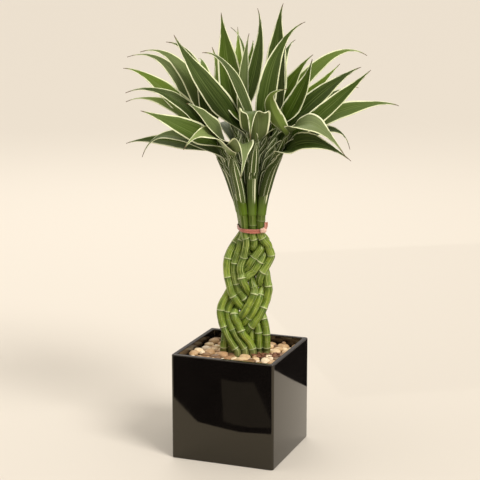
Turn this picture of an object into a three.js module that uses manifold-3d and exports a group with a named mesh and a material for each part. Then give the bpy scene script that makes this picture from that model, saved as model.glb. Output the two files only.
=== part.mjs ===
// Lucky bamboo in a glazed cube pot: nine canes plaited as three flat strands of three,
// bound with a ribbon, each cane ending in a sheathed leafy shoot.
// Millimetres, +Z up, origin at the middle of the pot's flat underside, pot walls along X and Y.

import * as THREE from 'three';
import { mergeVertices } from 'three/addons/utils/BufferGeometryUtils.js';
import Module from 'manifold-3d';

const wasm = await Module();
wasm.setup();

// Driving dimensions

// pot
const POT_SIDE = 127;
const POT_HEIGHT = 127;
const POT_WALL = 5.5;
const POT_FLOOR = 7;
const POT_CORNER = 3;
const RIM_ROUND = 1.6;
const FOOT_ROUND = 1;
const INNER_CORNER = 2;
const RIM_SOFTNESS = 0.3;
const CORNER_STEPS = 4;

// soil and pebbles
const FIT = 0.35;
const SOIL_TOP = 112;
const BED_TOP = 114.6;
const PEBBLE_SIZE = [6, 8.8];
const BED_CORNER = 2;

// canes
const CANE_RADIUS = 4.1;
const CANE_SIDES = 7;
const CANE_FOOT = 76;
const CANE_TOP = 293;
const NODE_PROUD = 0.32;
const NODE_HEIGHT = 1.3;
const NODE_FIRST = [3, 15];
const NODE_GAP = [15, 29];
const NODE_BELOW_TOP = 9;
const SOCKET = 5;

// plait: the way each strand's middle takes, as [height, sideways, depth], depth 1 over and -1 under
const STRANDS = {
  p: [[76, -11.5, -0.3], [125, -11.5, -0.3], [145, -9.5, -1], [168, 14.2, 1],
    [194, 24, 0.1], [223, 17.5, -1], [245, 9, -0.7], [263, 12.5, 0]],
  q: [[76, 5, 0.3], [125, 5, 0.3], [145, -9.5, 1], [168, -14.5, 0],
    [194, -3, -1], [223, 18.5, 1], [245, 29, 0.5], [263, 27, 0]],
  r: [[76, 21.5, -0.3], [125, 21.5, -0.3], [145, 21.5, -0.7], [168, 14.2, -1],
    [194, -1.2, 1], [223, -9, 0.3], [245, -6, 0], [263, -3, 0]],
};
const COLUMNS = { r: -1, p: 0, q: 1 };
const SHOOT_TOPS = [[390, 382, 374], [392, 398, 384], [390, 394, 388]];
const STEP = 2.5;
const LANE = 9.2;
const PLAIT_DEPTH = 16;
const CLEAR = 9.6;
const REACH = 4;
const SETTLE_ROUNDS = 400;
const CLEARING_ROUNDS = 100;
const PUSH_SHARE = 0.6;
const HOMING = 0.015;
const FLATTENING = 0.99;
const SOFTENING = 0.2;
const PLAIT_END = 300;
const SIDE_SMOOTH = 10;
const DEPTH_SMOOTH = 5;
const WIDEST_SPREAD = 1.4;
const LANE_SHIFT = 8;
const PLAIT_TURN = THREE.MathUtils.degToRad(20.7);
const STRAIGHT_BELOW = 122;
const BUNDLED_ABOVE = 263;
const BUNDLES_FROM = 230;
const TIE_AT = 269;
const TIE_PITCH = 9.6;
const TIE_MIDDLE = 12.5;

// tie
const TIE_HEIGHT = 4.6;
const TIE_THICK = 0.9;

// sheathed shoots
const FAN_SKEW = 0.45;
const FAN_SPREAD = 0.04;
const FAN_CURVE = 0.0016;
const FAN_SHIFT = 0.055;
const SHEATH_RADIUS = 5.2;
const SHEATH_TIP = 2.2;
const SHEATH_SWELL = 1.2;
const SHEATH_STEPS = 4;
const MID_RING = 6;

// joined bodies keep no edge shorter than this
const SHORTEST_EDGE = 0.02;

// leaves
const LEAF_RISE = 0.12;
const LEAF_LEAN = 0.1;
const LEAF_THICK = 0.9;
const LEAF_EDGE = 0.65;
const LEAF_STEPS = 6;
const WAVED_STEPS = 11;
const LEAF_WIDEST = 0.42;
const LEAF_ROOT = 0.3;
const LEAF_TIP_HALF = 0.4;
const LEAF_FOLD = 0.7;
const LEAF_FLAT_FOLD = 0.12;
const LEAF_SHOULDER = 1.2;
const LEAF_TAPER = 0.35;
const LEAF_VIA = 0.6;
const ROLLED_BY = 0.4;
const WAVE_LAG = 1.3;
const RING_SPACING = [1.15, 1.05];
const BLADE_END = [[0, 1, 2], [0, 2, 5], [2, 3, 4], [2, 4, 5]];

// pebbles
const PEBBLE_ROWS = 8;
const PEBBLE_HEIGHT = 115.6;
const PEBBLE_SEED = 20117;
const PEBBLE_FROM_CANE = 7;
const PEBBLE_BREADTH = [0.68, 0.9];
const PEBBLE_THICKNESS = [0.46, 0.6];
const PEBBLE_TILT = 0.35;
const PEBBLE_SCATTER = 0.4;
const PEBBLE_LIFT = 1.6;
const HOLE_ROOM = 0.65;
const HOLE_RADIUS = CANE_RADIUS + HOLE_ROOM;
const HOLE_SIDES = 10;

// leaves of each shoot: height of the root, a point two thirds along, the tip, breadth,
// then roll in degrees, number of waves and their swell; points are [sideways, depth, height]
const LEAVES = {
  r1: [
    [380, [-54, -35, 450], [-88, -42, 484], 22, -60],
    [374, [-79, -57, 446], [-136, -72, 464], 16, -45],
    [370, [-90, -46, 427], [-140, -58, 452], 22, -50],
    [362, [-83, -34, 409], [-136, -40, 414], 18, -35, 2, 1],
    [350, [-89, -55, 366], [-139, -72, 360], 20, -45],
    [384, [-27, -52, 450], [-24, -64, 494], 13, -70],
    [368, [-64, -86, 412], [-86, -122, 398], 22],
    [378, [-44, -84, 436], [-52, -122, 458], 20],
  ],
  r2: [
    [375, [-66, -6, 452], [-116, -8, 475], 20, -50, 2, 1],
    [370, [-77, 1, 422], [-133, 2, 429], 18, -45],
    [360, [-71, 26, 394], [-113, 40, 413], 25, -60],
    [346, [-76, -8, 378], [-116, -16, 352], 20, -30],
    [381, [-42, -4, 434], [-60, -12, 462], 20, -60],
  ],
  r3: [
    [366, [-40, 66, 407], [-59, 98, 428], 26, -20],
    [356, [-35, 66, 390], [-63, 97, 377], 22, -20, 2, 1.4],
    [350, [2, 70, 371], [-1, 106, 346], 20, 0, 2, 2],
  ],
  p1: [
    [384, [19, -34, 464], [19, -40, 523], 17, 70],
    [386, [9, -54, 452], [14, -66, 484], 14],
    [380, [6, -40, 454], [-12, -50, 500], 14, -60],
    [372, [-8, -90, 424], [-10, -136, 410], 22],
    [360, [18, -82, 396], [26, -120, 368], 20, 0, 2, 1.4],
    [354, [-22, -76, 384], [-32, -108, 352], 20],
    [378, [-4, -74, 448], [-4, -98, 498], 18],
    [390, [-20, -38, 440], [-34, -44, 478], 18, -60],
  ],
  p2: [
    [388, [-15, -14, 465], [-23, -20, 519], 22, -75],
    [392, [4, 4, 455], [9, 6, 497], 14, 60],
    [380, [-39, 10, 452], [-76, 12, 496], 22, -65],
  ],
  p3: [
    [378, [36, 30, 460], [72, 22, 511], 24, 60, 2, 1],
    [376, [-8, 44, 448], [-43, 53, 479], 22, -50],
    [366, [16, 90, 411], [9, 126, 400], 25, 0, 3, 2.6],
  ],
  q1: [
    [382, [42, -33, 469], [49, -36, 529], 20, 80],
    [380, [91, -41, 456], [149, -54, 467], 18, 50],
    [372, [80, -21, 425], [115, -26, 460], 18, 60],
    [366, [94, -48, 414], [141, -75, 427], 15, 40],
    [372, [58, -82, 420], [86, -124, 402], 22],
    [378, [46, -72, 446], [66, -108, 482], 20],
    [385, [58, -34, 436], [84, -32, 470], 20, 60],
    [354, [76, -66, 386], [112, -94, 358], 20],
  ],
  q2: [
    [386, [48, 8, 444], [51, 8, 485], 26, 75],
    [384, [69, 4, 431], [81, 6, 468], 22, 60],
    [364, [119, 0, 408], [182, 0, 414], 24, 45],
    [374, [94, 6, 429], [137, 6, 459], 24, 50],
    [348, [92, -8, 384], [128, -20, 360], 20, 30],
  ],
  q3: [
    [382, [33, 48, 420], [51, 62, 439], 16, 40],
    [374, [82, 64, 401], [114, 92, 372], 27, 30, 2, 1],
    [358, [77, 64, 380], [121, 88, 363], 24, 40, 2, 1.4],
    [370, [109, 31, 424], [146, 32, 458], 18, 60],
  ],
};

// tie's knot and the ribbon's loose end, as [sideways, depth, height]
const TIE_SLACK = 0.8;
const KNOT = [3.2, 2, 2.8];
const KNOT_AT = [24.5, 16, 269.6];
const TAIL = [[25, 16.2, 270], [28.6, 14.6, 274], [30, 11.5, 281]];
const TAIL_STEPS = 4;
const TAIL_HALF = 0.42;

// colours
const POT_COLOUR = 0x0c0b0d;
const SOIL_COLOUR = 0x3a2a20;
const PEBBLE_COLOUR = 0xb49a7c;
const CANE_COLOUR = 0x5f8a32;
const TIE_COLOUR = 0xb4705a;
const LEAF_COLOUR = 0x3f6b2f;

// Small tools

function random(seed) {
  let state = seed;
  return () => {
    state = (state * 16807) % 2147483647;
    return state / 2147483647;
  };
}

// between the two values of a range
function mix(range, t) {
  return range[0] + (range[1] - range[0]) * t;
}

// the plait's own directions: sideways u, depth v towards its face, height z
function place(u, v, z) {
  return new THREE.Vector3(
    u * Math.cos(PLAIT_TURN) + v * Math.sin(PLAIT_TURN),
    u * Math.sin(PLAIT_TURN) - v * Math.cos(PLAIT_TURN),
    z,
  );
}

// closed body through rings of equal count; each end is fanned from its middle,
// or filled by the given triangles where the section is folded
function loft(rings, ends = null) {
  const count = rings[0].length;
  const points = rings.flat();
  const index = [];
  for (let r = 0; r + 1 < rings.length; r++) {
    for (let i = 0; i < count; i++) {
      const j = (i + 1) % count;
      const a = r * count + i;
      const b = r * count + j;
      index.push(a, b, b + count, a, b + count, a + count);
    }
  }
  const close = (ring, first, flip) => {
    let faces = ends;
    if (!faces) {
      const middle = new THREE.Vector3();
      ring.forEach((p) => middle.addScaledVector(p, 1 / count));
      points.push(middle);
      const centre = points.length - 1 - first;
      faces = ring.map((p, i) => [centre, i, (i + 1) % count]);
    }
    for (const face of faces) {
      const [a, b, c] = face.map((i) => first + i);
      index.push(...(flip ? [a, c, b] : [a, b, c]));
    }
  };
  close(rings[0], 0, true);
  close(rings[rings.length - 1], (rings.length - 1) * count, false);
  return geometry(points, index);
}

function geometry(points, index) {
  const g = new THREE.BufferGeometry();
  const flat = points.flatMap((p) => [p.x, p.y, p.z]);
  g.setAttribute('position', new THREE.Float32BufferAttribute(flat, 3));
  g.setIndex(index);
  return g;
}

function solid(g) {
  const bare = g.clone();
  bare.deleteAttribute('normal');
  bare.deleteAttribute('uv');
  const merged = mergeVertices(bare, 1e-4);
  return new wasm.Manifold(new wasm.Mesh({
    numProp: 3,
    vertProperties: new Float32Array(merged.attributes.position.array),
    triVerts: new Uint32Array(merged.index.array),
  }));
}

function fromSolid(s) {
  const m = s.getMesh();
  const points = [];
  for (let i = 0; i < m.numVert; i++) {
    points.push(new THREE.Vector3(...m.vertProperties.slice(i * m.numProp, i * m.numProp + 3)));
  }
  const faces = [];
  for (let i = 0; i < m.triVerts.length; i += 3) {
    faces.push([...m.triVerts.slice(i, i + 3)]);
  }
  return geometry(points, withoutShortEdges(points, faces).flat());
}

// joins leave a few edges too short to keep: each is drawn together to one point
function withoutShortEdges(points, faces) {
  let kept = faces;
  for (;;) {
    const near = points.map(() => new Set());
    kept.forEach((face) => face.forEach((a, i) => {
      near[a].add(face[(i + 1) % 3]);
      near[a].add(face[(i + 2) % 3]);
    }));
    const short = kept
      .flatMap((face) => face.map((a, i) => [a, face[(i + 1) % 3]]))
      .find(([a, b]) => points[a].distanceTo(points[b]) < SHORTEST_EDGE
        && [...near[a]].filter((n) => near[b].has(n)).length === 2);
    if (!short) {
      return kept;
    }
    const [keep, drop] = short;
    kept = kept
      .map((face) => face.map((n) => (n === drop ? keep : n)))
      .filter((face) => new Set(face).size === 3);
  }
}

function body(name, g, colour, roughness, metalness = 0) {
  const flat = g.index ? g : mergeVertices(g);
  flat.computeVertexNormals();
  const finish = new THREE.MeshStandardMaterial({ color: colour, roughness, metalness });
  const mesh = new THREE.Mesh(flat, finish);
  mesh.name = name;
  return mesh;
}

// The pot

function squareRing(half, corner, z) {
  const ring = [];
  const middle = half - corner;
  const corners = [[1, 1], [-1, 1], [-1, -1], [1, -1]];
  corners.forEach(([sx, sy], quarter) => {
    for (let s = 0; s < CORNER_STEPS; s++) {
      const angle = (quarter + s / (CORNER_STEPS - 1)) * Math.PI / 2;
      ring.push(new THREE.Vector3(
        sx * middle + corner * Math.cos(angle),
        sy * middle + corner * Math.sin(angle),
        z,
      ));
    }
  });
  return ring;
}

function makePot() {
  const half = POT_SIDE / 2;
  const inner = half - POT_WALL;
  const soft = RIM_ROUND * RIM_SOFTNESS;
  const rings = [
    squareRing(half - FOOT_ROUND, POT_CORNER - FOOT_ROUND, 0),
    squareRing(half, POT_CORNER, FOOT_ROUND),
    squareRing(half, POT_CORNER, POT_HEIGHT - RIM_ROUND),
    squareRing(half - soft, POT_CORNER - soft, POT_HEIGHT - soft),
    squareRing(half - RIM_ROUND, POT_CORNER - RIM_ROUND, POT_HEIGHT),
    squareRing(inner + RIM_ROUND, INNER_CORNER + RIM_ROUND / 2, POT_HEIGHT),
    squareRing(inner + soft, INNER_CORNER + soft, POT_HEIGHT - soft),
    squareRing(inner, INNER_CORNER, POT_HEIGHT - RIM_ROUND),
    squareRing(inner, INNER_CORNER, POT_FLOOR),
  ];
  return loft(rings);
}

// The plait

function waypoint(points, height, column) {
  const last = points.length - 1;
  if (height <= points[0][0]) {
    return points[0][column];
  }
  for (let i = 0; i < last; i++) {
    if (height <= points[i + 1][0]) {
      const t = (height - points[i][0]) / (points[i + 1][0] - points[i][0]);
      return points[i][column] + t * (points[i + 1][column] - points[i][column]);
    }
  }
  return points[last][column];
}

function smooth(values, rounds) {
  let out = values.slice();
  for (let k = 0; k < rounds; k++) {
    const old = out;
    out = old.map((y, i) => {
      const end = i === 0 || i === old.length - 1;
      return end ? y : 0.25 * old[i - 1] + 0.5 * y + 0.25 * old[i + 1];
    });
  }
  return out;
}

function gradient(values) {
  const last = values.length - 1;
  return values.map((y, i) => {
    if (i === 0) {
      return (values[1] - y) / STEP;
    }
    if (i === last) {
      return (y - values[last - 1]) / STEP;
    }
    return (values[i + 1] - values[i - 1]) / (2 * STEP);
  });
}

function ease(from, to, x) {
  const t = Math.min(1, Math.max(0, (x - from) / (to - from)));
  return t * t * (3 - 2 * t);
}

// each cane as drawn, before it is pushed clear of the others
function drawnCanes(heights) {
  const canes = [];
  for (const [strand, way] of Object.entries(STRANDS)) {
    const side = smooth(heights.map((z) => waypoint(way, z, 1)), SIDE_SMOOTH);
    const depth = smooth(heights.map((z) => waypoint(way, z, 2)), DEPTH_SMOOTH);
    const slope = gradient(side);
    const leaned = smooth(slope, DEPTH_SMOOTH);
    for (const lane of [-1, 0, 1]) {
      const u = [];
      const v = [];
      heights.forEach((z, i) => {
        if (i > 0 && z < STRAIGHT_BELOW) {
          u.push(u[0]);
          v.push(v[0]);
          return;
        }
        const edge = ease(BUNDLES_FROM, BUNDLED_ABOVE, z);
        const spread = LANE * Math.min(WIDEST_SPREAD, Math.hypot(1, slope[i]));
        const shifted = (z + lane * LANE_SHIFT * leaned[i] - heights[0]) / STEP;
        const low = Math.min(heights.length - 2, Math.max(0, Math.floor(shifted)));
        const part = Math.min(1, Math.max(0, shifted - low));
        const over = depth[low] * (1 - part) + depth[low + 1] * part;
        const bundled = TIE_MIDDLE + COLUMNS[strand] * TIE_PITCH;
        u.push(side[i] * (1 - edge) + bundled * edge + lane * spread * Math.cos(edge * Math.PI / 2));
        v.push(PLAIT_DEPTH * over * (1 - edge) + lane * TIE_PITCH * edge);
      });
      canes.push({
        name: strand + (lane + 2),
        column: COLUMNS[strand],
        row: lane,
        top: SHOOT_TOPS[COLUMNS[strand] + 1][lane + 1],
        seed: 100 + 37 * canes.length,
        u,
        v,
      });
    }
  }
  return canes;
}

// canes closer than CLEAR push each other apart, while each keeps near its drawn way and stays smooth
function settle(canes, heights) {
  const count = heights.length;
  const drawn = canes.map((c) => c.u.slice());
  const held = heights.map((z) => z < STRAIGHT_BELOW || z > BUNDLED_ABOVE);
  const push = () => {
    const moves = canes.map(() => heights.map(() => [0, 0, 0]));
    canes.forEach((a, ai) => canes.forEach((b, bi) => {
      if (ai === bi) {
        return;
      }
      for (let o = -REACH; o <= REACH; o++) {
        for (let i = Math.max(0, -o); i < Math.min(count, count - o); i++) {
          const du = a.u[i] - b.u[i + o];
          const dv = a.v[i] - b.v[i + o];
          const r = Math.hypot(du, dv, o * STEP);
          if (r < CLEAR) {
            const w = (CLEAR - r) / r;
            moves[ai][i][0] += w * du;
            moves[ai][i][1] += w * dv;
            moves[ai][i][2] += 1;
          }
        }
      }
    }));
    canes.forEach((c, ci) => heights.forEach((z, i) => {
      if (!held[i]) {
        const [mu, mv, hits] = moves[ci][i];
        const share = PUSH_SHARE / Math.sqrt(Math.max(1, hits));
        c.u[i] += share * mu;
        c.v[i] += share * mv;
      }
    }));
  };
  for (let round = 0; round < SETTLE_ROUNDS; round++) {
    push();
    canes.forEach((c, ci) => {
      heights.forEach((z, i) => {
        if (!held[i]) {
          c.u[i] += HOMING * (drawn[ci][i] - c.u[i]);
          c.v[i] *= FLATTENING;
        }
      });
      for (const key of ['u', 'v']) {
        const soft = smooth(c[key], 2);
        c[key] = c[key].map((y, i) => (held[i] ? y : y + SOFTENING * (soft[i] - y)));
      }
    });
  }
  for (let round = 0; round < CLEARING_ROUNDS; round++) {
    push();
  }
  return canes;
}

// between two heights of a settled cane, a smooth curve through the four nearest points
function between(values, height) {
  const at = (height - CANE_FOOT) / STEP;
  const i = Math.min(values.length - 2, Math.max(0, Math.floor(at)));
  const t = at - i;
  const b = values[i];
  const c = values[i + 1];
  const a = i > 0 ? values[i - 1] : 2 * b - c;
  const d = i + 2 < values.length ? values[i + 2] : 2 * c - b;
  return b + 0.5 * t * (c - a + t * (2 * a - 5 * b + 4 * c - d + t * (3 * (b - c) + d - a)));
}

// above the tie the nine stems open out as a three by three fan
function fanned(column, row, height) {
  const rise = height - TIE_AT;
  const opened = FAN_SPREAD * rise + FAN_CURVE * rise * rise;
  const pitch = TIE_PITCH + opened;
  const middle = TIE_MIDDLE - FAN_SHIFT * rise;
  return place(middle + column * pitch + row * FAN_SKEW * opened, row * pitch, height);
}

function stemAt(stem, height) {
  if (height > TIE_AT) {
    return fanned(stem.column, stem.row, height);
  }
  return place(between(stem.u, height), between(stem.v, height), height);
}

// round section across a stem at a height
function stemRing(stem, height, radius, sides = CANE_SIDES) {
  const middle = stemAt(stem, height);
  const along = stemAt(stem, height + 0.5).sub(stemAt(stem, height - 0.5)).normalize();
  const across = new THREE.Vector3(1, 0, 0).addScaledVector(along, -along.x).normalize();
  const other = along.clone().cross(across);
  const ring = [];
  for (let i = 0; i < sides; i++) {
    const angle = i * 2 * Math.PI / sides;
    ring.push(middle.clone()
      .addScaledVector(across, radius * Math.cos(angle))
      .addScaledVector(other, radius * Math.sin(angle)));
  }
  return ring;
}

// The canes

function nodeHeights(seed) {
  const next = random(seed);
  const out = [];
  let z = STRAIGHT_BELOW + mix(NODE_FIRST, next());
  while (z < CANE_TOP - NODE_BELOW_TOP) {
    out.push(z);
    z += mix(NODE_GAP, next());
  }
  return out.filter((h) => Math.abs(h - TIE_AT) > TIE_HEIGHT);
}

function makeCane(stem) {
  const ground = STRAIGHT_BELOW - 1;
  const rings = [stemRing(stem, CANE_FOOT, CANE_RADIUS), stemRing(stem, ground, CANE_RADIUS)];
  let last = ground;
  const walkTo = (height) => {
    const spans = Math.max(1, Math.round((height - last) / MID_RING));
    for (let s = 1; s < spans; s++) {
      rings.push(stemRing(stem, last + (height - last) * s / spans, CANE_RADIUS));
    }
    last = height;
  };
  for (const node of nodeHeights(stem.seed)) {
    walkTo(node - NODE_HEIGHT);
    rings.push(stemRing(stem, node - NODE_HEIGHT, CANE_RADIUS));
    rings.push(stemRing(stem, node, CANE_RADIUS + NODE_PROUD));
    rings.push(stemRing(stem, node + NODE_HEIGHT, CANE_RADIUS));
    last = node + NODE_HEIGHT;
  }
  walkTo(CANE_TOP);
  rings.push(stemRing(stem, CANE_TOP, CANE_RADIUS));
  return loft(rings);
}

// The leafy shoots

// sheathed stem of a shoot, with a socket over the top of its cane
function makeSheath(stem) {
  const inner = CANE_RADIUS + FIT;
  const rings = [
    stemRing(stem, CANE_TOP + FIT, inner),
    stemRing(stem, CANE_TOP - SOCKET, inner),
    stemRing(stem, CANE_TOP - SOCKET, SHEATH_RADIUS),
  ];
  const reach = stem.top - CANE_TOP;
  for (let s = 1; s <= SHEATH_STEPS; s++) {
    const t = s / SHEATH_STEPS;
    const swell = SHEATH_SWELL * Math.sin(Math.PI * t);
    const taper = (SHEATH_RADIUS - SHEATH_TIP) * t ** 3;
    rings.push(stemRing(stem, CANE_TOP + reach * t, SHEATH_RADIUS + swell - taper));
  }
  return solid(loft(rings));
}

function leafBreadth(t) {
  if (t < LEAF_WIDEST) {
    return LEAF_ROOT + (1 - LEAF_ROOT) * Math.sin(Math.PI / 2 * t / LEAF_WIDEST) ** LEAF_SHOULDER;
  }
  const s = (t - LEAF_WIDEST) / (1 - LEAF_WIDEST);
  return (1 - s * s) * (1 - LEAF_TAPER * s);
}

// a leaf blade: root on its stem, through a point two thirds along, to its tip
function makeLeaf(stem, leaf) {
  const [height, viaAt, tipAt, width, roll = 0, waves = 0, swell = 0] = leaf;
  const root = stemAt(stem, height);
  const tip = place(...tipAt);
  const via = place(...viaAt);
  const rise = stemAt(stem, height + 1).sub(stemAt(stem, height - 1)).normalize();
  const out = via.clone().sub(root).setZ(0).normalize();
  const length = root.distanceTo(tip);
  const pull = root.clone()
    .addScaledVector(rise, LEAF_RISE * length)
    .addScaledVector(out, LEAF_LEAN * length);
  const rest = 1 - LEAF_VIA;
  const bend = via.clone()
    .addScaledVector(root, -(rest ** 3))
    .addScaledVector(pull, -3 * rest * rest * LEAF_VIA)
    .addScaledVector(tip, -(LEAF_VIA ** 3))
    .divideScalar(3 * rest * LEAF_VIA * LEAF_VIA);
  const curve = new THREE.CubicBezierCurve3(root, pull, bend, tip);
  const flatSide = new THREE.Vector3(out.y, -out.x, 0);
  const steps = waves ? WAVED_STEPS : LEAF_STEPS;
  const rings = [];
  for (let s = 0; s <= steps; s++) {
    const t = Math.sin(Math.PI / 2 * (s / steps) ** RING_SPACING[0]) ** RING_SPACING[1];
    const middle = curve.getPoint(t);
    const along = curve.getTangent(t);
    const side = flatSide.clone().addScaledVector(along, -flatSide.dot(along)).normalize();
    side.applyAxisAngle(along, THREE.MathUtils.degToRad(roll) * Math.min(1, t / ROLLED_BY));
    const up = side.clone().cross(along);
    const half = Math.max(LEAF_TIP_HALF, width / 2 * leafBreadth(t));
    const fold = LEAF_FOLD * (1 - t) ** 2 + LEAF_FLAT_FOLD;
    const margin = (sign) => {
      const lag = sign > 0 ? 0 : WAVE_LAG;
      const wave = swell * leafBreadth(t) * Math.sin(2 * Math.PI * waves * t + lag);
      return middle.clone()
        .addScaledVector(side, sign * half)
        .addScaledVector(up, fold * half + wave);
    };
    const thick = LEAF_THICK / 2;
    const thin = LEAF_EDGE / 2;
    const left = margin(-1);
    const right = margin(1);
    rings.push([
      right.clone().addScaledVector(up, thin),
      right.clone().addScaledVector(up, -thin),
      middle.clone().addScaledVector(up, -thick),
      left.clone().addScaledVector(up, -thin),
      left.clone().addScaledVector(up, thin),
      middle.clone().addScaledVector(up, thick),
    ]);
  }
  return solid(loft(rings, BLADE_END));
}

function makeShoot(stem) {
  let whole = makeSheath(stem);
  for (const leaf of LEAVES[stem.name]) {
    whole = whole.add(makeLeaf(stem, leaf));
  }
  return fromSolid(whole);
}

// The soil and its pebbles

function holeFor(stem, top) {
  const foot = place(stem.u[0], stem.v[0], 0);
  const bottom = CANE_FOOT - FIT;
  const g = new THREE.CylinderGeometry(HOLE_RADIUS, HOLE_RADIUS, top - bottom, HOLE_SIDES);
  g.rotateX(Math.PI / 2);
  g.translate(foot.x, foot.y, (top + bottom) / 2);
  return solid(g);
}

function pierced(block, stems) {
  let out = block;
  for (const stem of stems) {
    out = out.subtract(holeFor(stem, POT_HEIGHT));
  }
  // a chip of pebble cut loose by a hole is left out
  const pieces = out.decompose().sort((a, b) => b.volume() - a.volume());
  return fromSolid(pieces[0]);
}

function makeSoil(stems) {
  const half = POT_SIDE / 2 - POT_WALL - FIT;
  const low = squareRing(half, BED_CORNER, POT_FLOOR + FIT);
  const high = squareRing(half, BED_CORNER, SOIL_TOP);
  const block = loft([low, high]);
  return pierced(solid(block), stems);
}

function makePebble(next, x, y) {
  const long = mix(PEBBLE_SIZE, next());
  const g = new THREE.SphereGeometry(1, 6, 3);
  g.scale(long, long * mix(PEBBLE_BREADTH, next()), long * mix(PEBBLE_THICKNESS, next()));
  g.rotateX(PEBBLE_TILT * (next() - 0.5));
  g.rotateZ(Math.PI * next());
  g.translate(x, y, PEBBLE_HEIGHT + PEBBLE_LIFT * next());
  return g;
}

function makePebbles(stems) {
  const next = random(PEBBLE_SEED);
  const half = POT_SIDE / 2 - POT_WALL - FIT;
  const low = squareRing(half, BED_CORNER, SOIL_TOP + FIT);
  const high = squareRing(half, BED_CORNER, BED_TOP);
  let bed = solid(loft([low, high]));
  const pitch = 2 * half / PEBBLE_ROWS;
  for (let row = 0; row < PEBBLE_ROWS; row++) {
    for (let column = 0; column < PEBBLE_ROWS; column++) {
      const x = (column + 0.5 + PEBBLE_SCATTER * (next() - 0.5)) * pitch - half;
      const y = (row + 0.5 + PEBBLE_SCATTER * (next() - 0.5)) * pitch - half;
      const pebble = makePebble(next, x, y);
      const clear = stems.every((stem) => {
        const foot = place(stem.u[0], stem.v[0], 0);
        return Math.hypot(foot.x - x, foot.y - y) > PEBBLE_FROM_CANE;
      });
      if (clear) {
        bed = bed.add(solid(pebble));
      }
    }
  }
  const room = loft([low, squareRing(half, BED_CORNER, POT_HEIGHT)]);
  return pierced(bed.intersect(solid(room)), stems);
}

// The ribbon tie

function bandRing(offset, z) {
  const half = TIE_PITCH + CANE_RADIUS + TIE_SLACK + offset;
  const corner = CANE_RADIUS + TIE_SLACK + offset;
  return squareRing(half, corner, 0).map((p) => place(TIE_MIDDLE + p.x, -p.y, z));
}

function makeTie() {
  const low = TIE_AT - TIE_HEIGHT / 2;
  const high = TIE_AT + TIE_HEIGHT / 2;
  const outside = solid(loft([bandRing(TIE_THICK, low), bandRing(TIE_THICK, high)]));
  const inside = solid(loft([bandRing(0, low - 1), bandRing(0, high + 1)]));
  let tie = outside.subtract(inside);
  const knot = new THREE.SphereGeometry(1, 8, 6);
  knot.scale(...KNOT);
  knot.rotateZ(PLAIT_TURN);
  const at = place(...KNOT_AT);
  knot.translate(at.x, at.y, at.z);
  tie = tie.add(solid(knot)).add(makeTail(TAIL.map((p) => place(...p))));
  return fromSolid(tie);
}

// a flat end of the ribbon
function makeTail(points) {
  const curve = new THREE.CatmullRomCurve3(points);
  const rings = [];
  for (let s = 0; s <= TAIL_STEPS; s++) {
    const middle = curve.getPoint(s / TAIL_STEPS);
    const along = curve.getTangent(s / TAIL_STEPS);
    const out = place(1, 0, 0);
    const thin = out.addScaledVector(along, -out.dot(along)).normalize();
    const wide = along.clone().cross(thin);
    rings.push([[1, 1], [1, -1], [-1, -1], [-1, 1]].map(([w, h]) => middle.clone()
      .addScaledVector(wide, w * TIE_HEIGHT * TAIL_HALF)
      .addScaledVector(thin, h * TIE_THICK / 2)));
  }
  return solid(loft(rings));
}

// The whole plant

const heights = [];
for (let z = CANE_FOOT; z <= PLAIT_END; z += STEP) {
  heights.push(z);
}
const stems = settle(drawnCanes(heights), heights);

const plant = new THREE.Group();
plant.name = 'lucky_bamboo';
plant.add(body('pot', makePot(), POT_COLOUR, 0.12));
plant.add(body('soil', makeSoil(stems), SOIL_COLOUR, 0.95));
plant.add(body('pebbles', makePebbles(stems), PEBBLE_COLOUR, 0.7));
stems.forEach((stem) => {
  plant.add(body(`cane_${stem.name}`, makeCane(stem), CANE_COLOUR, 0.4));
});
plant.add(body('tie', makeTie(), TIE_COLOUR, 0.6));
stems.forEach((stem) => {
  plant.add(body(`shoot_${stem.name}`, makeShoot(stem), LEAF_COLOUR, 0.45));
});

export default plant;
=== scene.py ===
# Lucky bamboo in a glazed cube pot, dressed for the studio: plaited canes with pale rings,
# sheathed shoots with cream-edged leaves, a ribbon tie, and river pebbles over dark soil.
# Sizes are in millimetres and are turned into metres when a piece is drawn.

import math

import bpy
import numpy as np
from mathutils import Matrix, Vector


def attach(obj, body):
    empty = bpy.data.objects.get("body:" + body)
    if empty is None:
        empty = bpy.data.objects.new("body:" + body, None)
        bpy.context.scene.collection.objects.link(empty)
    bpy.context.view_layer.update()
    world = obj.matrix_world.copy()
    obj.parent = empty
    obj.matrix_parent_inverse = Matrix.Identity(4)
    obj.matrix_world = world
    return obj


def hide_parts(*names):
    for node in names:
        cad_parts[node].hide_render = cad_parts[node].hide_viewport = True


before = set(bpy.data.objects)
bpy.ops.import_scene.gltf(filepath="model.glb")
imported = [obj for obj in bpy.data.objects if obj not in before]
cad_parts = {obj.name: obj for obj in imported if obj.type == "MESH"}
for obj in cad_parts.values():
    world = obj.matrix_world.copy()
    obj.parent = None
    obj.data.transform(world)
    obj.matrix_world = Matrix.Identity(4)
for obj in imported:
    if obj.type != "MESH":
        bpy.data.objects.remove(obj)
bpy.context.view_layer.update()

MM = 0.001
TURN = 2 * math.pi

# Pot
POT_SIDE = 127
POT_HEIGHT = 127
POT_WALL = 5.5
POT_FLOOR = 7
POT_CORNER = 3
INNER_CORNER = 2
RIM_ROUND = 1.6
UPRIGHT_OVER = 50
EDGE_SLACK = 0.5
ROUNDED_OVER = math.radians(50)
SMOOTH_UNDER = math.radians(35)

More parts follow.
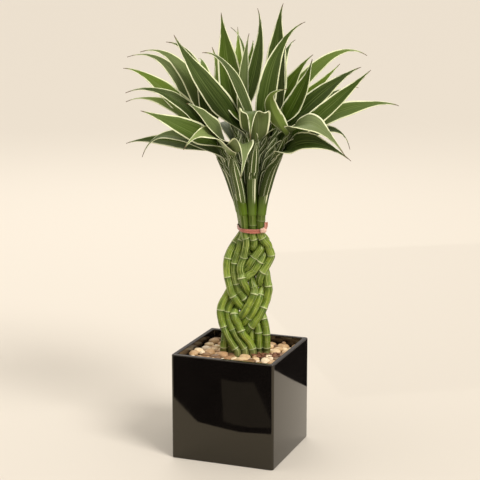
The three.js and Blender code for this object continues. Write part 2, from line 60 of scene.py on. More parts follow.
# Soil, and the stones laid over it: pebbles, then fillers, chips and crumbs of bark.
# Sizes are half lengths; sizes, breadths and thicknesses are the least and the most
FIT = 0.35
SOIL_TOP = 112
BED_TOP = 113.6
BED_HALF = POT_SIDE / 2 - POT_WALL - FIT
PEBBLE_SIZE = (6, 8.8)
PEBBLE_ROWS = 8
PEBBLE_HEIGHT = 115.6
PEBBLE_SEED = 20117
PEBBLE_FROM_CANE = 7
PEBBLE_BREADTH = (0.68, 0.9)
PEBBLE_THICKNESS = (0.46, 0.6)
PEBBLE_TILT = 0.35
PEBBLE_SCATTER = 0.4
PEBBLE_LIFT = 1.6
PEBBLE_SHRINK = 0.9
PEBBLE_FINE = 4

# A stone's reach sideways and its top, and when a filler leans on a stone or finds it too near
STONE_REACH = 0.8
STONE_CROWN = 0.5
LEANS_ON = 0.75
NESTLED = 0.45
CROWDED = 0.55
CROWDED_BY = 6
CROWDED_KEPT = 0.35

FROM_WALL = 3
FILLERS = 420
FILLER_SIZE = (3.6, 5.8)
FILLER_THICKNESS = (0.55, 0.72)
FILLER_TILT = 0.6
FILLER_TOP = 121.5
FILLER_FROM_CANE = 0.75
FILLER_FINE = 3
CHIPS = 160
CHIP_SIZE = (1.6, 3)
CHIP_THICKNESS = 0.7
CHIP_TILT = 0.2
CHIP_LIFT = 0.3
CHIP_SCATTER = 1.4
CHIP_FINE = 2
CRUMBS = 90
CRUMBS_AT = (31, 15)
CRUMBS_SPREAD = (17, 10)
CRUMBS_HEIGHT = 118.4
CRUMBS_SCATTER = 2.2
CRUMB_SIZE = (1.4, 3.4)
CRUMB_NARROWEST = 0.35
CRUMB_VARIES = 0.3
CRUMB_THICKNESS = 0.3
GRIT_BUMP = 0.25

# Canes
CANE_RADIUS = 4.6
NECK_SWELL = 0.3
NECK_FROM = 2
NECK_TO = 14
CANE_FOOT = 76
CANE_TOP = 293
NODE_FIRST = (3, 15)
NODE_GAP = (15, 29)
NODE_BELOW_TOP = 9
SOCKET = 5
CANE_ROUND = 20
LEVEL_STEP = 2.0
NEAR_RING = 2.3
RING_LEVELS = (-2.2, -1.5, -1.05, -0.75, -0.45, -0.2, 0.1, 0.4, 0.7, 1.1, 1.8)

# How a cane swells and sinks by each ring: how much, how far above the ring, how wide;
# the dip of the tie, the groove of the knot and the rib of a leaf are given in the same way
RING_LIP = (0.34, 0.1, 0.42)
RING_GROOVE = (0.2, -0.95, 0.4)
RING_SHOULDER = (0.16, 0, 3.2)

# The middle of each strand of the plait, as [height, sideways, depth]
STRANDS = {
    "p": [[76, -11.5, -0.3], [125, -11.5, -0.3], [145, -9.5, -1], [168, 14.2, 1],
        [194, 24, 0.1], [223, 17.5, -1], [245, 9, -0.7], [263, 12.5, 0]],
    "q": [[76, 5, 0.3], [125, 5, 0.3], [145, -9.5, 1], [168, -14.5, 0],
        [194, -3, -1], [223, 18.5, 1], [245, 29, 0.5], [263, 27, 0]],
    "r": [[76, 21.5, -0.3], [125, 21.5, -0.3], [145, 21.5, -0.7], [168, 14.2, -1],
        [194, -1.2, 1], [223, -9, 0.3], [245, -6, 0], [263, -3, 0]],
}

# How the nine canes settle into the plait
COLUMNS = {"r": -1, "p": 0, "q": 1}
SHOOT_TOPS = [[390, 382, 374], [392, 398, 384], [390, 394, 388]]
STEP = 2.5
LANE = 9.2
PLAIT_DEPTH = 16
CLEAR = 9.1
REACH = 4
SETTLE_ROUNDS = 400
CLEARING_ROUNDS = 100
PUSH_SHARE = 0.6
HOMING = 0.015
FLATTENING = 0.99
SOFTENING = 0.2
PLAIT_END = 300
SIDE_SMOOTH = 10
DEPTH_SMOOTH = 5
WIDEST_SPREAD = 1.4
LANE_SHIFT = 8
PLAIT_TURN = math.radians(20.7)
STRAIGHT_BELOW = 122
BUNDLED_ABOVE = 263
BUNDLES_FROM = 230

# Ribbon tie
TIE_AT = 269
TIE_PITCH = 9.6
TIE_MIDDLE = 12.5
TIE_HEIGHT = 4.6
TIE_SLACK = 0.8
TIE_LIFT = 1.4
TIE_DIP = (1.3, 0, 10)
TIE_SAG = 0.25
TIE_THICK = 0.9
CREASES = (0.22, 0.12)
CREASE_SINK = 0.2
KNOT = (3.9, 2.5, 3.3)
KNOT_AT = (25.8, 16.4, 270.6)
KNOT_FOLDS = 0.07
KNOT_GROOVE = (0.16, 0, 0.16)
TAIL = [(27, 17, 271), (28.9, 16.2, 275), (29.2, 14.5, 280)]
TAIL_HALF = 0.42
BAND_SINK = 0.1
BAND_STEPS = 8
BAND_SKIN = 0.55
TAIL_SKIN = 0.5

# How far the tie draws the canes together and shifts each row, and from where to where
SNUG = 0.055
ROW_SHIFT = 0.15
STAGGER_FROM = 238
STAGGER_TO = 345

# Sheathed shoots, which open out as a three by three fan
FAN_SKEW = 0.45
FAN_SPREAD = 0.04
FAN_CURVE = 0.0016
FAN_SHIFT = 0.055
SHEATH_RADIUS = 5.5
SHEATH_TIP = 2.2
SHEATH_SWELL = 1.2
CORE_LEVELS = 40
CORE_SINK = 0.05
CORE_EDGES = 3
CORE_LEAN = 900
CORE_HALF = 4.0
YOUNG_FROM = 4
YOUNG_TO = 26
YOUNG_SHEATH = 0.75
YOUNG_RISE = 18

# Leaves
LEAF_RISE = 0.12
LEAF_LEAN = 0.1
LEAF_WIDEST = 0.42
LEAF_ROOT = 0.42
LEAF_FOLD = 0.7
LEAF_FLAT_FOLD = 0.12
LEAF_SHOULDER = 1.2
LEAF_TAPER = 0.35
LEAF_VIA = 0.6
ROLLED_BY = 0.4
WAVE_LAG = 1.3
RIPPLE_LAG = 2.2
WAVE_REACH = 1.6
FOLD_REACH = 1.2
LEAF_RIB = (0.25, 0, 0.12)
EDGE_LEAST = 0.22
LEAF_SKIN = 0.5
SHEATH_SHARE = 0.2
SHEATH_LENGTH = 46
SHEATH_LAYER = 0.14
SHEATH_CLEAR = 0.02
SHEATH_HEM = 0.25
SHEATH_WRAP = 174
WRAP_LOOSENS = 0.3
MOUTH_WRAP = 104
MOUTH_OPENS = 50
MOUTH_FLARE = 0.35
BROAD_LEAF = 30
BLADE_EARLIEST = 0.17
BLADE_LATEST = 0.45
BLADE_CLEAR = 0.8
LEAF_ACROSS = 24
LEAF_ALONG = 56
ROWS_CROWD = (1.15, 1.05)
BROADER = 1.12
THREAD_TIP = 0.5
SHEATH_SINK = 0.42
RUFFLE = 1.5
PALEST = 0.5

# What differs from leaf to leaf: the least, and how much a random draw adds
RIPPLE = (0.25, 0.45)
RIPPLES = (2.5, 2)
SHEATH_GROW = (0.8, 0.4)

# Leaves of each shoot: height of the root, a point along the blade, the tip, breadth,
# then roll in degrees, number of waves, their swell, and how pale the blade is (a painted sheen,
# for a blade that catches light at a glancing angle); points are [sideways, depth, height]
LEAVES = {"r1": [
    [380, [-54, -35, 450], [-88, -42, 484], 22, -60],
    [374, [-79, -57, 446], [-136, -72, 464], 16, -45],
    [370, [-90, -46, 427], [-140, -58, 452], 22, -50],
    [362, [-83, -34, 409], [-136, -40, 414], 18, -35, 2, 1],
    [350, [-89, -55, 366], [-139, -72, 360], 20, -45],
    [384, [-27, -52, 450], [-24, -64, 494], 13, -70],
    [368, [-64, -86, 412], [-86, -122, 398], 22],
    [378, [-44, -84, 436], [-52, -122, 458], 20],
], "r2": [
    [375, [-66, -6, 452], [-116, -8, 475], 20, -50, 2, 1],
    [370, [-77, 1, 422], [-133, 2, 429], 18, -45],
    [360, [-71, 26, 394], [-113, 40, 413], 25, -60],
    [346, [-76, -8, 378], [-116, -16, 352], 20, -30],
    [381, [-42, -4, 434], [-60, -12, 462], 20, -60],
], "r3": [
    [366, [-40, 66, 407], [-59, 98, 428], 27, -55, 1, 1, 0.6],
    [356, [-35, 66, 390], [-63, 97, 377], 22, -45, 2, 1.4, 0.9],
    [356, [3, 68, 379], [-2, 102, 341], 24, -10, 2, 2.2, 0.8],
], "p1": [
    [384, [19, -34, 464], [19, -40, 523], 17, 70],
    [386, [9, -54, 452], [14, -66, 484], 14],
    [380, [6, -40, 454], [-12, -50, 500], 14, -60],
    [372, [-8, -90, 424], [-10, -136, 410], 22],
    [360, [18, -82, 396], [26, -120, 368], 20, 0, 2, 1.4],
    [354, [-22, -76, 384], [-32, -108, 352], 20],
    [378, [-4, -74, 448], [-4, -98, 498], 18],
    [384, [-22, -38, 434], [-34, -44, 478], 26, -60],
], "p2": [
    [388, [-15, -14, 465], [-23, -20, 519], 27, -75],
    [392, [4, 4, 455], [9, 6, 497], 14, 60],
    [374, [-45, 10, 445], [-76, 12, 496], 27, -65],
], "p3": [
    [378, [36, 30, 460], [72, 22, 511], 21, 60, 2, 1.3],
    [376, [-8, 44, 448], [-43, 53, 479], 22, -50],
    [374, [13, 78, 416], [10, 111, 389], 31, 0, 2.5, 3.6, 0.3],
], "q1": [
    [382, [42, -33, 469], [49, -36, 529], 26, 80],
    [380, [91, -41, 456], [149, -54, 467], 18, 50],
    [372, [80, -21, 425], [115, -26, 460], 18, 60],
    [366, [94, -48, 414], [141, -75, 427], 15, 40],
    [372, [58, -82, 420], [86, -124, 402], 22],
    [378, [46, -72, 446], [66, -108, 482], 20],
    [385, [58, -34, 436], [84, -32, 470], 20, 60],
    [354, [76, -66, 386], [112, -94, 358], 20],
], "q2": [
    [386, [48, 8, 444], [51, 8, 485], 26, 75],
    [384, [69, 4, 431], [81, 6, 468], 22, 60],
    [364, [119, 0, 408], [182, 0, 414], 24, 45],
    [374, [94, 6, 429], [137, 6, 459], 24, 50],
    [348, [92, -8, 384], [128, -20, 360], 20, 30],
], "q3": [
    [382, [33, 48, 420], [51, 62, 439], 16, 40],
    [387, [80, 64, 400], [114, 92, 370], 29, 28, 1, 1, 0.8],
    [358, [77, 64, 380], [121, 88, 363], 24, 50, 2, 1.4],
    [370, [109, 31, 424], [146, 32, 458], 18, 60],
]}


# Shared tools

def random(seed):
    """A repeatable run of numbers from 0 to 1."""
    state = seed
    while True:
        state = state * 16807 % 2147483647
        yield state / 2147483647


def mix(pair, t):
    return pair[0] + (pair[1] - pair[0]) * t


def ease(low, high, x):
    t = np.clip((x - low) / (high - low), 0, 1)
    return t * t * (3 - 2 * t)


def hump(x, much, middle, wide):
    """A smooth rise round the middle that fades away on both sides."""
    return much * np.exp(-((x - middle) / wide) ** 2)


def unit(v):
    return v / np.linalg.norm(v, axis=-1, keepdims=True)


def dot(a, b):
    return np.sum(a * b, axis=-1, keepdims=True)


def place(u, v, z):
    """The plait's own directions: sideways u, depth v towards its face, height z."""
    u, v, z = np.broadcast_arrays(u, v, z)
    across, deep = math.cos(PLAIT_TURN), math.sin(PLAIT_TURN)
    return np.stack([u * across + v * deep, u * deep - v * across, z.astype(float)], -1)


def deselect():
    for thing in bpy.context.selected_objects:
        thing.select_set(False)


def pick(*pieces):
    deselect()
    for piece in pieces:
        piece.select_set(True)
    bpy.context.view_layer.objects.active = pieces[0]


def points_of(piece):
    points = np.empty(len(piece.data.vertices) * 3)
    piece.data.vertices.foreach_get("co", points)
    return points.reshape(-1, 3)


def set_points(piece, points):
    """Puts the piece's points at these places, given in millimetres."""
    piece.data.vertices.foreach_set("co", (points * MM).ravel())
    piece.data.update()


def flat_sheet(name, across, along):
    """A flat sheet of squares, and how far across and along it each point is, from 0 to 1."""
    deselect()
    bpy.ops.mesh.primitive_grid_add(x_subdivisions=across, y_subdivisions=along, size=1)
    sheet = bpy.context.active_object
    sheet.name = sheet.data.name = name
    flat = points_of(sheet)
    return sheet, flat[:, 0] + 0.5, flat[:, 1] + 0.5


def tube_sheet(name, across, levels):
    """A sheet with a row for each level, and each point's way round, row and height."""
    last = len(levels) - 1
    tube, u, v = flat_sheet(name, across, last)
    row = np.round(v * last).astype(int)
    return tube, u, row, levels[row]


def note(piece, **values):
    """Keeps numbers at each point, for the material to read."""
    count = len(piece.data.vertices)
    for name, numbers in values.items():
        layer = piece.data.attributes.new(name, "FLOAT", "POINT")
        layer.data.foreach_set("value", np.broadcast_to(numbers, count).astype(np.float32))


def mode(kind):
    bpy.ops.object.mode_set(mode=kind)


def close_seams(piece):
    pick(piece)
    mode("EDIT")
    bpy.ops.mesh.select_all(action="SELECT")
    bpy.ops.mesh.remove_doubles(threshold=0.00001)
    bpy.ops.mesh.normals_make_consistent(inside=False)
    mode("OBJECT")


def modify(piece, kind, **settings):
    """Adds a modifier with these settings and applies it."""
    pick(piece)
    bpy.ops.object.modifier_add(type=kind)
    change = piece.modifiers[-1]
    for key, value in settings.items():
        setattr(change, key, value)
    bpy.ops.object.modifier_apply(modifier=change.name)


def thicken(piece, skin, back=0):
    """Gives a sheet its thickness, away from the side that its faces look to."""
    modify(piece, "SOLIDIFY", thickness=skin * MM, offset=-1, material_offset=back)


def smooth_shade(piece):
    pick(piece)
    bpy.ops.object.shade_smooth()


def dress(piece, *skins):
    for skin in skins:
        piece.data.materials.append(skin)


def joined(name, pieces):
    pick(*pieces)
    bpy.ops.object.join()
    whole = bpy.context.active_object
    whole.name = whole.data.name = name
    return whole


def settled_in(piece, slot, *nodes):
    """The piece stands for these nodes of the part, which are hidden; the slot is not used."""
    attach(piece, "root")
    if nodes:
        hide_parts(*nodes)


# The plait: each cane as drawn, then pushed clear of the others

def smooth(values, rounds):
    out = np.array(values, float)
    for _ in range(rounds):
        out[..., 1:-1] = 0.25 * out[..., :-2] + 0.5 * out[..., 1:-1] + 0.25 * out[..., 2:]
    return out


def drawn_canes(heights):
    canes = []
    for strand, way in STRANDS.items():
        way = np.array(way, float)
        side = smooth(np.interp(heights, way[:, 0], way[:, 1]), SIDE_SMOOTH)
        depth = smooth(np.interp(heights, way[:, 0], way[:, 2]), DEPTH_SMOOTH)
        slope = np.gradient(side, STEP)
        leaned = smooth(slope, DEPTH_SMOOTH)
        edge = ease(BUNDLES_FROM, BUNDLED_ABOVE, heights)
        spread = LANE * np.minimum(WIDEST_SPREAD, np.hypot(1, slope))
        bundled = TIE_MIDDLE + COLUMNS[strand] * TIE_PITCH
        for lane in (-1, 0, 1):
            over = np.interp(heights + lane * LANE_SHIFT * leaned, heights, depth)
            u = side * (1 - edge) + bundled * edge + lane * spread * np.cos(edge * math.pi / 2)
            v = PLAIT_DEPTH * over * (1 - edge) + lane * TIE_PITCH * edge
            foot = heights < STRAIGHT_BELOW
            u[foot] = u[0]
            v[foot] = v[0]
            canes.append(dict(
                name=strand + str(lane + 2), column=COLUMNS[strand], row=lane, u=u, v=v,
                top=SHOOT_TOPS[COLUMNS[strand] + 1][lane + 1], seed=100 + 37 * len(canes),
            ))
    return canes


def pushed(way, held):
    """One step that moves canes nearer than CLEAR away from each other."""
    count = way.shape[-1]
    others = ~np.eye(len(way), dtype=bool)
    moves = np.zeros_like(way)
    hits = np.zeros((len(way), count))
    for shift in range(-REACH, REACH + 1):
        low, high = max(0, -shift), min(count, count - shift)
        apart = way[:, None, :, low:high] - way[None, :, :, low + shift:high + shift]
        r = np.maximum(np.sqrt((apart ** 2).sum(2) + (shift * STEP) ** 2), 1e-9)
        near = (r < CLEAR) & others[:, :, None]
        weight = np.where(near, (CLEAR - r) / r, 0)
        moves[:, :, low:high] += (weight[:, :, None] * apart).sum(1)
        hits[:, low:high] += near.sum(1)
    share = PUSH_SHARE / np.sqrt(np.maximum(1, hits))
    return np.where(held, way, way + share[:, None] * moves)


def settle(canes, heights):
    drawn = np.array([[cane["u"], cane["v"]] for cane in canes])
    held = (heights < STRAIGHT_BELOW) | (heights > BUNDLED_ABOVE)
    way = drawn.copy()
    for _ in range(SETTLE_ROUNDS):
        way = pushed(way, held)
        eased = way.copy()
        eased[:, 0] += HOMING * (drawn[:, 0] - way[:, 0])
        eased[:, 1] *= FLATTENING
        way = np.where(held, way, eased)
        soft = smooth(way, 2)
        way = np.where(held, way, way + SOFTENING * (soft - way))
    for _ in range(CLEARING_ROUNDS):
        way = pushed(way, held)
    near = ease(STAGGER_FROM, BUNDLED_ABOVE, heights)
    for cane, (u, v) in zip(canes, way):
        v = v * (1 - SNUG * near)
        cane["u"], cane["v"] = u - SNUG * near * (u - TIE_MIDDLE) + ROW_SHIFT * near * v, v
    return canes


def between(values, height):
    """A smooth curve through the plait's steps."""
    at = (height - CANE_FOOT) / STEP
    i = np.clip(np.floor(at).astype(int), 1, len(values) - 3)
    t = at - i
    a, b, c, d = values[i - 1], values[i], values[i + 1], values[i + 2]
    return b + 0.5 * t * (c - a + t * (2 * a - 5 * b + 4 * c - d + t * (3 * (b - c) + d - a)))


def stem_at(stem, height):
    height = np.asarray(height, float)
    rise = height - TIE_AT
    opened = FAN_SPREAD * rise + FAN_CURVE * rise * rise
    near = ease(STAGGER_TO, TIE_AT, height)
    pitch = TIE_PITCH * (1 - SNUG * near)
    fan_u = TIE_MIDDLE - FAN_SHIFT * rise + stem["column"] * (pitch + opened)
    fan_u = fan_u + stem["row"] * (FAN_SKEW * opened + ROW_SHIFT * near * pitch)
    fan_v = stem["row"] * (pitch + opened)
    low = np.minimum(height, TIE_AT)
    u = np.where(height > TIE_AT, fan_u, between(stem["u"], low))
    v = np.where(height > TIE_AT, fan_v, between(stem["v"], low))
    return place(u, v, height)


def around_stem(stem, height, radius, turn):
    """Points round a stem: turn is the angle round it, square to the way it runs."""
    middle = stem_at(stem, height)
    along = unit(stem_at(stem, height + 0.5) - stem_at(stem, height - 0.5))
    across = unit(np.array([1.0, 0, 0]) - along * along[..., :1])
    other = np.cross(along, across)
    ring = across * np.cos(turn)[:, None] + other * np.sin(turn)[:, None]
    return middle + radius[:, None] * ring


# Canes

def node_heights(seed):
    draw = random(seed)
    found = []
    z = STRAIGHT_BELOW + mix(NODE_FIRST, next(draw))
    while z < CANE_TOP - NODE_BELOW_TOP:
        found.append(z)
        z += mix(NODE_GAP, next(draw))
    return np.array([h for h in found if abs(h - TIE_AT) > TIE_HEIGHT])


def cane_levels(nodes):
    """Heights to draw a cane at: even steps, and close ones at each ring."""
    steps = np.arange(STRAIGHT_BELOW - 8, CANE_TOP, LEVEL_STEP)
    clear = np.abs(steps[:, None] - nodes[None]).min(1) > NEAR_RING
    rings = nodes[:, None] + np.array(RING_LEVELS)
    return np.unique(np.concatenate([[CANE_FOOT, CANE_TOP], steps[clear], rings.ravel()]))


def ring_swell(away):
    """How far a cane stands out near one of its rings: a thin lip with a groove below it."""
    return hump(away, *RING_LIP) - hump(away, *RING_GROOVE) + hump(away, *RING_SHOULDER)


def make_cane(stem, skin):
    nodes = node_heights(stem["seed"])
    levels = cane_levels(nodes)
    levels = np.concatenate([levels[:1], levels, levels[-1:]])
    cane, u, row, z = tube_sheet("cane_" + stem["name"], CANE_ROUND, levels)
    nearest = nodes[np.abs(z[:, None] - nodes[None]).argmin(1)]
    away = z - nearest
    neck = NECK_SWELL * ease(TIE_AT + NECK_FROM, TIE_AT + NECK_TO, z)
    radius = CANE_RADIUS + neck + ring_swell(away)
    radius[(row == 0) | (row == len(levels) - 1)] = 0
    set_points(cane, around_stem(stem, z, radius, TURN * u))
    span = np.searchsorted(nodes, z)
    draw = random(stem["seed"] + 11)
    shades = np.array([next(draw) for _ in range(len(nodes) + 1)])
    note(cane, ring=away, shade=shades[span], height=z)
    close_seams(cane)
    smooth_shade(cane)
    dress(cane, skin)
    settled_in(cane, "cane", "cane_" + stem["name"])


# Leafy shoots

def sheath_radius(stem, z):
    t = np.clip((z - CANE_TOP) / (stem["top"] - CANE_TOP), 0, 1)
    swell = SHEATH_SWELL * np.sin(math.pi * t)
    return SHEATH_RADIUS + swell - (SHEATH_RADIUS - SHEATH_TIP) * t ** 3


def make_core(stem, skins):
    """The rolled-up heart of a shoot, under its outer sheaths."""
    low = CANE_TOP - SOCKET
    sides = np.linspace(low + 0.8, stem["top"] - 1, CORE_LEVELS)
    levels = np.concatenate([[low, low], sides, [stem["top"]] * 2])
    core, u, row, z = tube_sheet("core", LEAF_ACROSS, levels)
    radius = sheath_radius(stem, z) - CORE_SINK - 0.5 * ease(low + 0.9, low, z)
    radius[row == 0] = CANE_RADIUS - 0.3
    radius[row == len(levels) - 2] *= 0.6
    radius[row == len(levels) - 1] = 0
    set_points(core, around_stem(stem, z, radius, TURN * u))
    draw = random(stem["seed"] + 5)
    # the heart's own leaf edges run up its sides
    edges = np.array([next(draw) for _ in range(CORE_EDGES)])
    lean = (z - low) / CORE_LEAN
    apart = np.abs((u[:, None] + lean[:, None] - edges[None] + 0.5) % 1 - 0.5).min(1)
    young = ease(low + YOUNG_TO, low + YOUNG_FROM, z)
    note(core, edge=apart * TURN * radius, half=CORE_HALF, along=0.1,
        shade=next(draw), pale=0, rolled=1, young=young)
    close_seams(core)
    smooth_shade(core)
    dress(core, *skins)
    return core


def leaf_breadth(t):
    grown = np.sin(math.pi / 2 * np.minimum(1, t / LEAF_WIDEST)) ** LEAF_SHOULDER
    low = LEAF_ROOT + (1 - LEAF_ROOT) * grown
    s = np.clip((t - LEAF_WIDEST) / (1 - LEAF_WIDEST), 0, 1)
    return np.where(t < LEAF_WIDEST, low, (1 - s * s) * (1 - LEAF_TAPER * s))


def leaf_curve(stem, leaf, t):
    """The leaf's midrib from its root on the stem to its tip, and the way it runs."""
    root = stem_at(stem, leaf[0])
    via = place(*leaf[1])
    tip = place(*leaf[2])
    rise = unit(stem_at(stem, leaf[0] + 1) - stem_at(stem, leaf[0] - 1))
    out = unit((via - root) * np.array([1, 1, 0]))
    length = np.linalg.norm(tip - root)
    pull = root + LEAF_RISE * length * rise + LEAF_LEAN * length * out
    rest = 1 - LEAF_VIA
    bend = via - rest ** 3 * root - 3 * rest ** 2 * LEAF_VIA * pull - LEAF_VIA ** 3 * tip
    bend = bend / (3 * rest * LEAF_VIA ** 2)
    s = t[:, None]
    left = 1 - s
    middle = left ** 3 * root + 3 * left ** 2 * s * pull + 3 * left * s * s * bend + s ** 3 * tip
    along = left ** 2 * (pull - root) + 2 * left * s * (bend - pull) + s * s * (tip - bend)
    return middle, unit(along), out


def blade_starts(stem, leaf):
    """The share of the leaf's length at which its midrib stands clear of the stem."""
    t = np.linspace(0, BLADE_LATEST, 46)
    middle = leaf_curve(stem, leaf, t)[0]
    away = np.linalg.norm((middle - stem_at(stem, middle[:, 2]))[:, :2], axis=1)
    clear = away > sheath_radius(stem, middle[:, 2]) + BLADE_CLEAR
    return max(BLADE_EARLIEST, t[clear.argmax()] if clear.any() else t[-1])


def make_leaf(stem, leaf, layer, seed, skins):
    """One leaf with the sheath that wraps its stem below it."""
    width = leaf[3]
    roll, waves, swell, pale = (list(leaf[4:]) + [0] * 4)[:4]
    draw = random(seed)
    next(draw)  # the first number is much the same for seeds so close together
    ripple = [next(draw) for _ in range(6)]
    sheet, u, v = flat_sheet("leaf", LEAF_ACROSS, LEAF_ALONG)
    w = 2 * u - 1
    part = np.clip((v - SHEATH_SHARE) / (1 - SHEATH_SHARE), 0, 1)
    t = np.sin(math.pi / 2 * part ** ROWS_CROWD[0]) ** ROWS_CROWD[1]
    down = np.clip(1 - v / SHEATH_SHARE, 0, 1)
    middle, along, out = leaf_curve(stem, leaf, t)

    # the blade
    level = np.array([out[1], -out[0], 0])
    side = unit(level - dot(level, along) * along)
    angle = (math.radians(roll) * np.minimum(1, t / ROLLED_BY))[:, None]
    side = side * np.cos(angle) + np.cross(along, side) * np.sin(angle)
    up = np.cross(side, along)
    breadth = leaf_breadth(t)
    thread = 1 - THREAD_TIP * ease(0.6, 0.92, t)
    half = np.maximum(EDGE_LEAST, BROADER * width / 2 * breadth * thread)
    fold = LEAF_FOLD * (1 - t) ** 2 + LEAF_FLAT_FOLD
    lag = np.where(w > 0, 0, WAVE_LAG)
    wave = RUFFLE * swell * breadth * np.sin(TURN * waves * t + lag)
    ripples = RIPPLES[0] + RIPPLES[1] * ripple[1]
    fine = np.sin(TURN * ripples * t + 6 * ripple[2] + RIPPLE_LAG * (w > 0))
    fine = (RIPPLE[0] + RIPPLE[1] * ripple[0]) * breadth * fine
    lift = fold * half * np.abs(w) ** FOLD_REACH + (wave + fine) * np.abs(w) ** WAVE_REACH
    lift = lift - hump(w, *LEAF_RIB) * breadth
    blade = middle + side * (half * w)[:, None] + up * lift[:, None]

    # the sheath, wrapped round the stem and opening towards the blade
    long = SHEATH_LENGTH * (SHEATH_GROW[0] + SHEATH_GROW[1] * ripple[3])
    low = max(CANE_TOP - SOCKET + 1, leaf[0] - long)
    z = np.where(down > 0, leaf[0] - (leaf[0] - low) * down, middle[:, 2])
    closed = ease(0, 0.35, down)
    mouth = MOUTH_WRAP - MOUTH_OPENS * min(1, width / BROAD_LEAF)
    wrap = np.radians(SHEATH_WRAP * closed + mouth * (1 - closed))
    wrap = wrap * (1 - WRAP_LOOSENS * ease(0, 0.2, t))
    radius = sheath_radius(stem, z) + SHEATH_CLEAR + layer * SHEATH_LAYER * ease(1, 0.75, down)
    radius = radius - SHEATH_SINK * ease(0.05, 0.4, down) - SHEATH_HEM * ease(0.94, 1, down)
    radius = radius + MOUTH_FLARE * ease(0.3, 0, down) * np.abs(w) ** 3
    turn = w * wrap
    ring = out * np.cos(turn)[:, None] + level * np.sin(turn)[:, None]
    sheath = stem_at(stem, z) + ring * radius[:, None]
    opened = ease(0, blade_starts(stem, leaf), t)[:, None]
    set_points(sheet, sheath * (1 - opened) + blade * opened)

    reach = radius * wrap * (1 - opened[:, 0]) + half * opened[:, 0]
    young = YOUNG_SHEATH * ease(CANE_TOP + YOUNG_RISE, CANE_TOP, z) * (down > 0)
    note(sheet, edge=reach * (1 - np.abs(w)), half=reach, along=t, shade=ripple[4],
        pale=max(pale, PALEST * ripple[5] ** 3), rolled=1 - opened[:, 0], young=young)
    smooth_shade(sheet)
    dress(sheet, *skins)
    thicken(sheet, LEAF_SKIN, back=1)
    return sheet


def make_shoot(stem, skins):
    leaves = sorted(LEAVES[stem["name"]], key=lambda leaf: -leaf[0])
    pieces = [make_core(stem, skins)]
    for i, leaf in enumerate(leaves):
        pieces.append(make_leaf(stem, leaf, i + 1, stem["seed"] * 13 + 7 * i + 1, skins))
    shoot = joined("shoot_" + stem["name"], pieces)
    settled_in(shoot, "leaf", "shoot_" + stem["name"])


# Pebbles over the soil

def stone_shape(around, draw):
    """Turns a ball into a river pebble: rounded, a little lopsided, with soft flats."""
    a, b, c = [6.28 * next(draw) for _ in range(3)]
    x, y, z = around.T
    lump = 0.055 * np.sin(2.3 * x + a) + 0.05 * np.sin(2.7 * y + b) + 0.045 * np.sin(3.1 * z + c)
    lump = lump + 0.03 * np.sin(4.4 * (x + z) + b) * np.sin(3.7 * y + c)
    boxy = (np.abs(around) ** 2.35).sum(1) ** (-1 / 2.35)
    return around * (boxy * (1 + lump))[:, None]


def make_stone(fine, size, tilt, turn, at, draw, bark=0):
    deselect()
    bpy.ops.mesh.primitive_ico_sphere_add(subdivisions=fine, radius=1)
    stone = bpy.context.active_object
    around = unit(points_of(stone))
    p = stone_shape(around, draw) * size
    cos, sin = math.cos(tilt), math.sin(tilt)
    p = p @ np.array([[1, 0, 0], [0, cos, sin], [0, -sin, cos]])
    cos, sin = math.cos(turn), math.sin(turn)
    p = p @ np.array([[cos, sin, 0], [-sin, cos, 0], [0, 0, 1]])
    p = p + at
    p[:, :2] = np.clip(p[:, :2], -BED_HALF, BED_HALF)
    set_points(stone, p)
    note(stone, shade=next(draw), warmth=next(draw), bark=bark)
    smooth_shade(stone)
    return stone


def from_canes(feet, at):
    """How far a place lies from the middle of the nearest cane."""
    return np.hypot(*(feet - at[:2]).T).min()


def anywhere(draw):
    """A random place between the walls of the pot."""
    return [(2 * next(draw) - 1) * (BED_HALF - FROM_WALL) for _ in range(2)]


def stone_size(lengths, thicknesses, draw):
    long, broad = mix(lengths, next(draw)), mix(PEBBLE_BREADTH, next(draw))
    return long * np.array([1, broad, mix(thicknesses, next(draw))])


def pebbles(feet, finer):
    """The big stones, where the part has them, and the place, reach and top of each."""
    draw = random(PEBBLE_SEED)
    pitch = 2 * BED_HALF / PEBBLE_ROWS
    stones, laid = [], []
    for row in range(PEBBLE_ROWS):
        for column in range(PEBBLE_ROWS):
            x = (column + 0.5 + PEBBLE_SCATTER * (next(draw) - 0.5)) * pitch - BED_HALF
            y = (row + 0.5 + PEBBLE_SCATTER * (next(draw) - 0.5)) * pitch - BED_HALF
            size = stone_size(PEBBLE_SIZE, PEBBLE_THICKNESS, draw)
            tilt = PEBBLE_TILT * (next(draw) - 0.5)
            turn = math.pi * next(draw)
            at = np.array([x, y, PEBBLE_HEIGHT + PEBBLE_LIFT * next(draw)])
            if from_canes(feet, at) > PEBBLE_FROM_CANE:
                seen = size * PEBBLE_SHRINK
                stones.append(make_stone(PEBBLE_FINE, seen, tilt, turn, at, finer))
                laid.append([x, y, STONE_REACH * size[0], at[2] + STONE_CROWN * size[2]])
    return stones, laid


